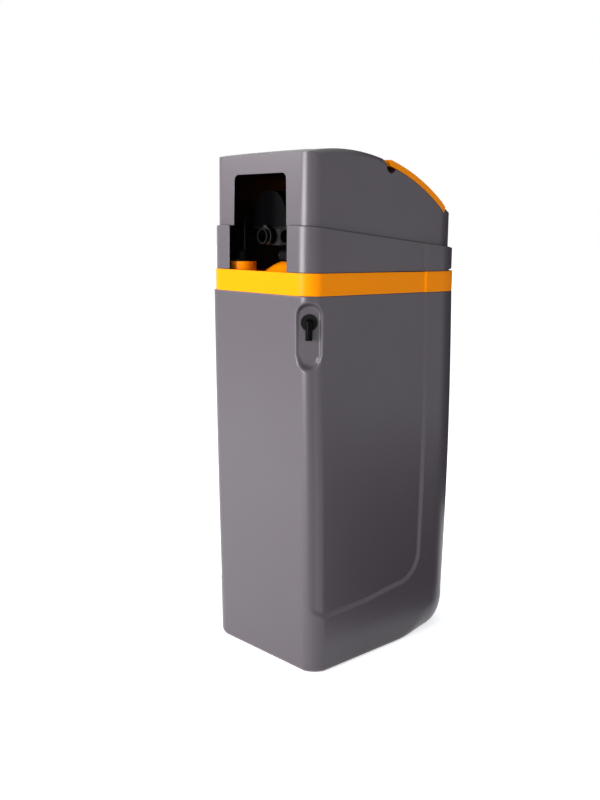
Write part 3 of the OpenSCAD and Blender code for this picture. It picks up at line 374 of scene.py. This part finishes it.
@dataclass
class CabinetShell:
    """Moulded salt cabinet with inset side panels, a bowed front, a round foot and the overflow pocket.

    Sizes are in millimetres.
    """

    # Plan: half width, rear face, corner radii and the bowed front.
    flank: float = 165.5
    rear: float = 254.0
    corner_r: float = 36.0
    front_r: float = 100.0
    bow_r: float = 570.0
    # Wall, base and the eased top edge.
    height: float = 800.0
    wall: float = 4.0
    base: float = 6.0
    lip_r: float = 1.2
    lip_cut: float = 0.4
    # Lean of the rear face, which stands further in at the floor; it fades out over the run.
    lean: float = 21.65
    lean_run: float = 205.0
    # Round foot, fuller at the rear corners and drawn up into the long toe at the front.
    foot_r: float = 11.0
    heel: float = 4.0
    toe_r: float = 37.0
    toe_h: float = 72.0
    toe_start: float = -25.0
    toe_run: float = 170.0
    # Swell of front and sides above the skirt, and where the front's takes over.
    bulge: float = 5.0
    side_bulge: float = 2.5
    swell_z: float = 90.0
    bow_start: float = -95.0
    bow_run: float = 60.0
    # Side panel: inset, its extra on the corners, how far it turns to the rear, its bevel and its outline.
    step: float = 4.5
    corner_step: float = 0.5
    panel_turn: float = 0.48
    panel_r: float = 55.0
    bevel_out: float = 9.0
    bevel_run: float = 12.0
    crease_z: tuple[float, ...] = (0.0, 194.0, 294.0, 424.0, 548.0, 679.0, 800.0)
    crease_y: tuple[float, ...] = (-92.0, -96.0, -97.5, -98.5, -98.5, -96.0, -93.0)
    sill_y: tuple[float, ...] = (-120.0, -4.0, 68.0, 200.0, 235.0)
    sill_z: tuple[float, ...] = (151.0, 142.0, 132.5, 128.0, 148.0)
    # Overflow pocket in the rear corner: middle, half width, ends, floor, slopes of its lower and upper
    # wall, and how far to the sides and to the inside it moves the cabinet's wall.
    pocket_centre: tuple[float, float] = (-121.0, 214.0)
    pocket_half: float = 30.5
    pocket_low: float = 678.0
    pocket_high: float = 759.0
    pocket_floor: float = 24.0
    pocket_slopes: tuple[float, float] = (16.0, 11.0)
    pocket_reach: float = 30.0
    pocket_back: float = 10.0
    # Columns of the grid: where their spacing changes along rear and flank, and the steps between.
    rear_stop: float = 90.0
    rear_steps: tuple[int, ...] = (8, 11)
    corner_steps: int = 35
    flank_stops: tuple[float, float] = (0.0, -112.0)
    flank_steps: tuple[int, ...] = (25, 43, 6)
    front_steps: int = 25
    bow_steps: int = 7
    # Rows of the grid: close together along the sill and the pocket, wide apart between them.
    row_stops: tuple[float, float, float] = (118.0, 222.0, 640.0)
    foot_steps: int = 14
    low_steps: int = 9
    outer_steps: tuple[int, ...] = (39, 35, 61)
    inner_steps: tuple[int, ...] = (49, 11, 15)
    # Rings of the flat base, as shares of the way from its middle to the foot.
    base_y: float = -10.0
    base_rings: tuple[float, ...] = (0.12, 0.5, 0.8, 0.95)

    def outline(self) -> tuple[Array, Array]:
        """Runs round the plan from the rear middle, half of it worked out and half mirrored.

        The half is a straight rear face, a quarter circle, a straight flank, the arc of the front corner and
        the flat arc of the bow, which touch without a kink.

        Returns:
            Points and outward normals, each columns by two.
        """
        corner_x, corner_y = self.flank - self.corner_r, self.rear - self.corner_r
        front_x, bow_y = self.flank - self.front_r, self.bow_r - self.rear
        front_y = bow_y - np.sqrt((self.bow_r - self.front_r) ** 2 - front_x ** 2)
        meet = np.arctan2(front_y - bow_y, front_x)
        rear_x = spread((0.0, self.rear_stop, corner_x), self.rear_steps)[:-1]
        flank_y = spread((corner_y, *self.flank_stops, front_y), self.flank_steps)[1:-1]
        turn = np.linspace(np.pi / 2, 0, self.corner_steps + 1)
        sweep = np.linspace(0, meet, self.front_steps + 1)
        bow = np.linspace(meet, -np.pi / 2, self.bow_steps + 1)[1:]
        facing = np.concatenate([
            np.full_like(rear_x, np.pi / 2), turn, np.zeros_like(flank_y), sweep, bow])
        x = np.concatenate([
            rear_x, corner_x + self.corner_r * np.cos(turn), np.full_like(flank_y, self.flank),
            front_x + self.front_r * np.cos(sweep), self.bow_r * np.cos(bow)])
        y = np.concatenate([
            np.full_like(rear_x, self.rear), corner_y + self.corner_r * np.sin(turn), flank_y,
            front_y + self.front_r * np.sin(sweep), bow_y + self.bow_r * np.sin(bow)])
        half = np.stack([x, y], -1)
        normal = np.stack([np.cos(facing), np.sin(facing)], -1)
        flip = np.array([-1.0, 1.0])
        return np.concatenate([half * flip, half[-2:0:-1]]), np.concatenate([normal * flip, normal[-2:0:-1]])

    def rows(self, foot: Array, tall: Array) -> tuple[Array, Array, Array]:
        """Carries the wall's profile from the foot up the outside, over the top edge and down the inside.

        The foot is a quarter ellipse, the walls are straight, and the inside follows one wall further in.

        Args:
            foot: How far the round foot comes in at each column.
            tall: Height of the round foot at each column.

        Returns:
            Inset and height of every point, and 1 for the rows on the inside.
        """
        flat = np.ones_like(foot)[None, :]
        arc = np.linspace(0, np.pi / 2, self.foot_steps + 1)[:, None]
        low, high = self.row_stops[0], self.height - self.lip_r
        z_low = tall + (low - tall) * np.linspace(0, 1, self.low_steps + 1)[1:-1, None]
        z_out = spread((*self.row_stops, high), self.outer_steps)[:, None] * flat
        z_in = spread((high, *self.row_stops[::-1]), self.inner_steps)[:, None] * flat
        cut = np.array([self.lip_cut, 0.0, 0.0, self.lip_cut])
        across = np.array([self.lip_cut, self.lip_r, self.wall - self.lip_r, self.wall - self.lip_cut])
        rise, fall = arc, arc[::-1]
        outer = [(foot * (1 - np.sin(rise)), tall * (1 - np.cos(rise))),
                 (0 * z_low, z_low), (0 * z_out, z_out)]
        lip = [(across[:, None] * flat, (self.height - cut[:, None]) * flat)]
        inner = [(self.wall + 0 * z_in, z_in), (self.wall + 0 * z_low, z_low[::-1]),
                 (self.wall + (foot - self.wall) * (1 - np.sin(fall)),
                  self.base + (tall - self.base) * (1 - np.cos(fall)))]
        inset, z = (np.concatenate(part) for part in zip(*outer, *lip, *inner))
        outside = sum(len(part[1]) for part in outer + lip)
        return inset, z, (np.arange(len(z)) >= outside).astype(float)[:, None]

    def panel(self, y: Array, z: Array) -> Array:
        """Gives 1 inside the inset side panel and 0 outside, eased across its bevel.

        The panel ends at the crease line ahead and at the sill line below, which meet in a round corner.

        Args:
            y: Depth of each point.
            z: Height of each point.

        Returns:
            Share of the full inset.
        """
        ahead = y - np.interp(z, self.crease_z, self.crease_y)
        above = z - np.interp(y, self.sill_y, self.sill_z)
        r = self.panel_r
        corner = r - np.hypot(np.maximum(r - ahead, 0), np.maximum(r - above, 0))
        inside = np.where((ahead < r) & (above < r), corner, np.minimum(ahead, above))
        return smooth((inside + self.bevel_out) / self.bevel_run)

    def sink_pocket(self, x: Array, y: Array, z: Array, inside: Array) -> tuple[Array, Array]:
        """Presses the overflow pocket into the rear corner, down to a flat floor with sloping walls.

        Args:
            x: Widths of the grid.
            y: Depths of the grid.
            z: Heights of the grid.
            inside: 1 for rows of the inner face.

        Returns:
            The moved widths and depths.
        """
        diagonal = np.sqrt(0.5)
        px, py = x - self.pocket_centre[0], y - self.pocket_centre[1]
        along, out = (px + py) * diagonal, (py - px) * diagonal
        past_end = np.maximum(np.maximum(self.pocket_low - z, z - self.pocket_high), 0)
        edge = self.pocket_half + self.wall * inside - np.hypot(along, past_end)
        slope = np.where(z < self.pocket_low, *self.pocket_slopes)
        near = (out > self.pocket_back) & (px < self.pocket_reach) & (py > -self.pocket_reach)
        share = np.where(near, smooth(edge / slope), 0.0)
        shift = share * np.minimum(self.pocket_floor - self.wall * inside - out, 0)
        return x - shift * diagonal, y + shift * diagonal

    def build(self) -> bpy.types.Object:
        """Works out every point of the shell as one grid.

        Each point is its place in the plan, leant with the rear face and moved along the plan's normal: in
        by the profile's inset and the panel's depth, out by half a sine wave of swell.

        Returns:
            The shell's object.
        """
        plan, normal = self.outline()
        nx, ny = normal[None, :, 0], normal[None, :, 1]
        toe = smooth((self.toe_start - plan[:, 1]) / self.toe_run)
        foot = self.foot_r + self.heel * np.abs(2 * normal[:, 0] * np.maximum(normal[:, 1], 0))
        inset, z, inside = self.rows(foot + (self.toe_r - foot) * toe, foot + (self.toe_h - foot) * toe)
        leaning = smooth(plan[None, :, 1] / self.lean_run) * (self.height - z) / self.height
        y_leant = plan[None, :, 1] - self.lean * leaning
        step = self.step + self.corner_step * np.square(2 * nx * ny)
        to_rear = smooth((ny - self.panel_turn) / (1 - self.panel_turn))
        depth = step * (1 - to_rear) * self.panel(y_leant, z)
        front = smooth((self.bow_start - plan[None, :, 1]) / self.bow_run)
        side = self.side_bulge * np.abs(nx)
        wave = np.sin(np.pi * np.clip((z - self.swell_z) / (self.height - self.swell_z), 0, 1))
        move = inset + depth - (side + (self.bulge - side) * front) * wave
        x, y = self.sink_pocket(plan[None, :, 0] - nx * move, y_leant - ny * move, z, inside)
        wall = np.stack([x, y, z], -1)
        middle = np.array([0.0, self.base_y, 0.0])
        shrink = np.array(self.base_rings)[:, None, None]
        under = middle + (wall[0] - middle) * shrink
        over = middle + (wall[-1] - middle) * shrink[::-1]
        under[..., 2], over[..., 2] = 0.0, self.base
        poles = ((0.0, self.base_y, 0.0), (0.0, self.base_y, self.base))
        return grid_object("cabinet_shell_skin", np.concatenate([under, wall, over]), poles)

    def dress(self, nodes: Nodes) -> list[str]:
        """Builds the shell, gives it its finish and puts it in the CAD node's place.

        Args:
            nodes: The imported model's objects by node name.

        Returns:
            Name of the new piece.
        """
        replaced = nodes["cabinet_shell"].data.materials
        replaced.clear()
        replaced.append(CABINET_GREY.material())
        piece = self.build()
        piece.data.materials.append(CABINET_GREY.material())
        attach(piece, "cabinet")
        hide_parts("cabinet_shell")
        return [piece.name]


@dataclass(frozen=True)
class CadPiece:
    """A CAD node that keeps its shape and gets a finish and, where it has an edge size, rounded edges.

    Sizes are in millimetres and angles in degrees.
    """

    node: str
    finish: Finish
    edge: float = 0.0
    segments: int = 2
    weld_gap: float = 0.01
    flat_angle: float = 0.4
    sharp_angle: float = 28.0
    face_weight: int = 80

    def dress(self, nodes: Nodes) -> None:
        """Puts the finish and the edge rounding on the node's object.

        Args:
            nodes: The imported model's objects by node name.
        """
        piece = nodes[self.node]
        piece.data.materials.clear()
        piece.data.materials.append(self.finish.material())
        weld = piece.modifiers.new("weld", "WELD")
        weld.merge_threshold = self.weld_gap * MM
        if self.edge > 0:
            self.round_edges(piece)

    def round_edges(self, piece: bpy.types.Object) -> None:
        """Joins the flat faces' triangles, rounds the sharp edges and lets the large faces set the shading.

        Args:
            piece: Object that takes the modifiers.
        """
        flat = piece.modifiers.new("flat_faces", "DECIMATE")
        flat.decimate_type = "DISSOLVE"
        flat.angle_limit = np.radians(self.flat_angle)
        bevel = piece.modifiers.new("edges", "BEVEL")
        bevel.width = self.edge * MM
        bevel.segments = self.segments
        bevel.limit_method = "ANGLE"
        bevel.angle_limit = np.radians(self.sharp_angle)
        bevel.use_clamp_overlap = False
        shading = piece.modifiers.new("even_shading", "WEIGHTED_NORMAL")
        shading.mode = "FACE_AREA"
        shading.weight = self.face_weight


class SubAssembly(ABC):
    """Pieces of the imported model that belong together; its edge sizes are in millimetres."""

    @abstractmethod
    def pieces(self) -> list[CadPiece]:
        """Lists what belongs to the sub-assembly.

        Returns:
            The pieces with their finishes and edge sizes.
        """

    def dress(self, nodes: Nodes) -> list[str]:
        """Dresses every piece.

        Args:
            nodes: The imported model's objects by node name.

        Returns:
            Names of the pieces in order.
        """
        listed = self.pieces()
        for piece in listed:
            piece.dress(nodes)
        return [piece.node for piece in listed]


@dataclass
class Overflow(SubAssembly):
    """Overflow elbow in its grommet, in the cabinet's pocket."""

    grommet_edge: float = 0.5
    elbow_edge: float = 0.4

    def pieces(self) -> list[CadPiece]:
        """Lists the two pieces.

        Returns:
            The pieces with their finishes and edge sizes.
        """
        return [
            CadPiece("overflow_grommet", SEAL_RUBBER, self.grommet_edge),
            CadPiece("overflow_elbow", COVER_BLACK, self.elbow_edge),
        ]


@dataclass
class TopCovers(SubAssembly):
    """Orange rim, cover ring, hood and salt lid, with the screws and pins that hold them."""

    rim_edge: float = 1.0
    ring_edge: float = 1.8
    screw_edge: float = 0.3
    hood_edge: float = 1.0
    pin_edge: float = 0.2
    lid_edge: float = 1.0

    def pieces(self) -> list[CadPiece]:
        """Lists the covers from the rim up.

        Returns:
            The pieces with their finishes and edge sizes.
        """
        return [
            CadPiece("rim_deck", RIM_ORANGE, self.rim_edge),
            CadPiece("cover_ring", COVER_GREY, self.ring_edge),
            CadPiece("ring_screws", ZINC_STEEL, self.screw_edge),
            CadPiece("hood", COVER_GREY, self.hood_edge),
            CadPiece("hinge_pins", ZINC_STEEL, self.pin_edge),
            CadPiece("salt_lid", RIM_ORANGE, self.lid_edge),
        ]


@dataclass
class ControlPanel(SubAssembly):
    """Display and push buttons in the hood."""

    buttons: int = 4
    bezel_edge: float = 0.3
    lens_edge: float = 0.2
    button_edge: float = 0.4

    def pieces(self) -> list[CadPiece]:
        """Lists the panel's pieces, then its row of buttons.

        Returns:
            The pieces with their finishes and edge sizes.
        """
        panel = [
            CadPiece("panel_bezel", COVER_BLACK, self.bezel_edge),
            CadPiece("display_lens", DISPLAY_WINDOW, self.lens_edge),
            CadPiece("circuit_board", BOARD_GREEN),
        ]
        row = [f"panel_button_{number}" for number in range(1, self.buttons + 1)]
        return panel + [CadPiece(name, BUTTON_GREY, self.button_edge) for name in row]


@dataclass
class ResinTank(SubAssembly):
    """Resin vessel with its filling, and the clamp round its neck."""

    boot_edge: float = 0.8
    tube_edge: float = 0.3
    clamp_edge: float = 0.6
    screw_edge: float = 0.3

    def pieces(self) -> list[CadPiece]:
        """Lists the vessel from the boot up to the clamp.

        Returns:
            The pieces with their finishes and edge sizes.
        """
        return [
            CadPiece("tank_boot", VALVE_BLACK, self.boot_edge),
            CadPiece("resin_tank", TANK_FIBRE),
            CadPiece("resin_bed", RESIN_BEADS),
            CadPiece("riser_tube", TUBE_WHITE, self.tube_edge),
            CadPiece("bottom_strainer", TUBE_WHITE),
            CadPiece("top_strainer", TUBE_WHITE),
            CadPiece("neck_clamp_left", VALVE_BLACK, self.clamp_edge),
            CadPiece("neck_clamp_right", VALVE_BLACK, self.clamp_edge),
            CadPiece("clamp_screws", ZINC_STEEL, self.screw_edge),
        ]


@dataclass
class ControlValve(SubAssembly):
    """Valve on the tank, with its ports' clips, flow meter, venturi and drain."""

    body_edge: float = 0.6
    cap_edge: float = 0.4
    cover_edge: float = 1.0
    clip_edge: float = 0.4
    spigot_edge: float = 0.3

    def pieces(self) -> list[CadPiece]:
        """Lists the body, then what sits on and in it.

        Returns:
            The pieces with their finishes and edge sizes.
        """
        return [
            CadPiece("valve_body", VALVE_BLACK, self.body_edge),
            CadPiece("valve_cap", VALVE_BLACK, self.cap_edge),
            CadPiece("valve_cover", COVER_BLACK, self.cover_edge),
            CadPiece("inlet_clip", CLIP_ACETAL, self.clip_edge),
            CadPiece("outlet_clip", CLIP_ACETAL, self.clip_edge),
            CadPiece("turbine_support", TUBE_WHITE),
            CadPiece("flow_turbine", TUBE_WHITE),
            CadPiece("venturi_housing", VALVE_BLACK, self.body_edge),
            CadPiece("drain_spigot", VALVE_BLACK, self.spigot_edge),
        ]


@dataclass
class ValveDrive(SubAssembly):
    """Motor and gears that turn the valve, with the switch that reads their place."""

    gear_edge: float = 0.2
    plate_edge: float = 0.3
    motor_edge: float = 0.6
    switch_edge: float = 0.3

    def pieces(self) -> list[CadPiece]:
        """Lists the gears, the motor on its plate and the switch.

        Returns:
            The pieces with their finishes and edge sizes.
        """
        return [
            CadPiece("cam_gear", TUBE_WHITE, self.gear_edge),
            CadPiece("motor_pinion", TUBE_WHITE, self.gear_edge),
            CadPiece("motor_plate", ZINC_STEEL, self.plate_edge),
            CadPiece("drive_motor", ZINC_STEEL, self.motor_edge),
            CadPiece("position_switch", VALVE_BLACK, self.switch_edge),
        ]


@dataclass
class BrineWell(SubAssembly):
    """Brine well with its float valve, and the tube to the valve."""

    well_edge: float = 0.3
    cap_edge: float = 0.6
    valve_edge: float = 0.4
    float_edge: float = 0.5

    def pieces(self) -> list[CadPiece]:
        """Lists the well and what hangs in it, then the tube.

        Returns:
            The pieces with their finishes and edge sizes.
        """
        return [
            CadPiece("brine_well", TUBE_WHITE, self.well_edge),
            CadPiece("well_cap", COVER_BLACK, self.cap_edge),
            CadPiece("brine_riser", TUBE_WHITE),
            CadPiece("brine_valve", VALVE_BLACK, self.valve_edge),
            CadPiece("brine_float", TUBE_WHITE, self.float_edge),
            CadPiece("brine_tube", COVER_BLACK),
        ]


@dataclass(frozen=True)
class Lamp:
    """One area lamp that looks at a point, in metres and watts."""

    name: str
    place: Point
    target: Point
    size: tuple[float, float]
    watts: float

    def build(self) -> None:
        """Hangs the lamp and turns it to its target."""
        data = bpy.data.lights.new(self.name, "AREA")
        data.shape = "RECTANGLE"
        data.size, data.size_y = self.size
        data.energy = self.watts
        lamp = add_object(self.name, data)
        lamp.location = self.place
        lamp.rotation_euler = (Vector(self.target) - Vector(self.place)).to_track_quat("-Z", "Y").to_euler()


@dataclass
class Studio:
    """Camera, lamps, world, floor and flag of the picture, in metres."""

    # Camera: place, axes, focal length and picture centre in pixels of the frame, sensor in millimetres.
    eye: Point = (-1.54296, 1.54678, 0.92038)
    forward: Point = (0.70015488, -0.69378273, -0.16866732)
    right: Point = (-0.70168333, -0.71228386, 0.01709421)
    up: Point = (0.13199868, -0.10638246, 0.9855248)
    focal_px: float = 962.81
    centre_px: float = 335.0
    frame_px: tuple[int, int] = (600, 800)
    sensor: float = 36.0
    # Surrounding light, and the share of white that the floor adds where it is looked at.
    surround: str = "f3f7ff"
    surround_level: float = 0.6
    backdrop: str = "ffffff"
    paper: str = "f7f7f7"
    paper_lift: float = 0.62
    paper_side: float = 60.0
    # Black flag: an upright card ahead of the object's front and a sheet on the floor at its near side.
    card_black: str = "272727"
    card_ends: tuple[tuple[float, float], ...] = ((-0.72, -1.1), (1.1, -1.0))
    card_z: tuple[float, float] = (0.02, 2.2)
    sheet_corners: tuple[tuple[float, float], ...] = (
        (-0.3, 0.1), (-1.96, -1.3), (-0.73, -2.3), (-0.2, -0.45))
    sheet_z: float = 0.005
    lamps: tuple[Lamp, ...] = (
        Lamp("key", (2.6, 2.7, 2.2), (0.0, 0.2, 0.7), (1.2, 1.2), 80.0),
        Lamp("accent", (0.15, 3.5, 0.95), (-0.13, 0.23, 0.95), (1.6, 1.0), 120.0),
        Lamp("top", (0.2, 0.2, 3.0), (0.0, 0.0, 0.9), (1.6, 1.6), 8.0),
    )

    def camera(self) -> None:
        """Makes the camera that stands where the photograph was taken."""
        long_side = max(self.frame_px)
        data = bpy.data.cameras.new("camera")
        data.sensor_fit = "AUTO"
        data.sensor_width = self.sensor
        data.lens = self.focal_px * self.sensor / long_side
        data.shift_x = -(self.centre_px - self.frame_px[0] / 2) / long_side
        camera = add_object("camera", data)
        axes = np.array([self.right, self.up, -np.array(self.forward)]).T
        matrix = Matrix(axes.tolist()).to_4x4()
        matrix.translation = Vector(self.eye)
        camera.matrix_world = matrix
        bpy.context.scene.camera = camera

    def seen(self, tree: bpy.types.NodeTree) -> bpy.types.NodeSocket:
        """Gives 1 for what the camera, a mirror or clear glass looks at, and 0 for all other light.

        Args:
            tree: Node tree of the world or of the floor.

        Returns:
            The value's socket.
        """
        path = add_node(tree, "ShaderNodeLightPath").outputs
        looked = add_node(tree, "ShaderNodeMath", {
            0: path["Is Camera Ray"], 1: path["Is Glossy Ray"]}, operation="MAXIMUM")
        through = add_node(tree, "ShaderNodeMath", {
            0: looked.outputs[0], 1: path["Is Transmission Ray"]}, operation="MAXIMUM")
        return through.outputs[0]

    def world(self) -> None:
        """Makes the soft surrounding light, and the white that is seen behind the object."""
        world = bpy.data.worlds.new("studio")
        tree = empty_tree(world)
        soft = add_node(tree, "ShaderNodeBackground", {
            "Color": linear(self.surround), "Strength": self.surround_level})
        white = add_node(tree, "ShaderNodeBackground", {"Color": linear(self.backdrop), "Strength": 1.0})
        mix = add_node(tree, "ShaderNodeMixShader", {
            0: self.seen(tree), 1: soft.outputs[0], 2: white.outputs[0]})
        add_node(tree, "ShaderNodeOutputWorld", {"Surface": mix.outputs[0]})
        bpy.context.scene.world = world

    def sheets(self, name: str, corners: list[Point], material: bpy.types.Material) -> bpy.types.Object:
        """Makes an object of flat four-cornered sheets.

        Args:
            name: Name of the object.
            corners: Four corners for each sheet, in order.
            material: Material of all sheets.

        Returns:
            The new object.
        """
        mesh = bpy.data.meshes.new(name)
        mesh.from_pydata(corners, [], np.arange(len(corners)).reshape(-1, 4).tolist())
        mesh.materials.append(material)
        return add_object(name, mesh)

    def floor(self) -> None:
        """Lays a pale floor that keeps the object's shadow."""
        # Matt white paper: no highlight, lifted to white where it is looked at.
        material = bpy.data.materials.new("floor_pale_paper")
        tree = empty_tree(material)
        paper = add_node(tree, "ShaderNodeBsdfPrincipled", {
            "Base Color": linear(self.paper), "Roughness": 0.8})
        lift = add_node(tree, "ShaderNodeMath", {
            0: self.seen(tree), 1: self.paper_lift}, operation="MULTIPLY")
        glow = add_node(tree, "ShaderNodeEmission", {
            "Color": linear(self.backdrop), "Strength": lift.outputs[0]})
        both = add_node(tree, "ShaderNodeAddShader", {0: paper.outputs[0], 1: glow.outputs[0]})
        add_node(tree, "ShaderNodeOutputMaterial", {"Surface": both.outputs[0]})
        side = self.paper_side
        corners = [(-side, -side, 0.0), (side, -side, 0.0), (side, side, 0.0), (-side, side, 0.0)]
        self.sheets("floor", corners, material)

    def flag(self) -> None:
        """Stands a black card beside the object, which only shows as the dark in its polish."""
        # Matt black card: no highlight of its own.
        material = bpy.data.materials.new("flag_black_card")
        tree = empty_tree(material)
        card = add_node(tree, "ShaderNodeBsdfPrincipled", {
            "Base Color": linear(self.card_black), "Roughness": 0.9, "Specular IOR Level": 0.0})
        add_node(tree, "ShaderNodeOutputMaterial", {"Surface": card.outputs[0]})
        low, high = self.card_z
        upright = [(*end, low) for end in self.card_ends] + [(*end, high) for end in self.card_ends[::-1]]
        lying = [(*corner, self.sheet_z) for corner in self.sheet_corners]
        flag = self.sheets("flag", upright + lying, material)
        flag.visible_camera = False
        flag.visible_diffuse = False
        flag.visible_shadow = False

    def build(self) -> None:
        """Sets up the whole studio."""
        self.camera()
        self.world()
        self.floor()
        self.flag()
        for lamp in self.lamps:
            lamp.build()
        bpy.context.scene.view_settings.view_transform = "Standard"


def main() -> None:
    """Builds the studio, dresses the sub-assemblies in order and reports each piece."""
    logging.basicConfig(level=logging.INFO)
    Studio().build()
    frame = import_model()
    assemblies = (
        CabinetShell(), Overflow(), TopCovers(), ControlPanel(), ResinTank(), ControlValve(), ValveDrive(),
        BrineWell())
    for assembly in assemblies:
        for piece in assembly.dress(frame["nodes"]):
            LOG.info("%s: dressed %s", type(assembly).__name__, piece)


if __name__ == "__main__":
    main()
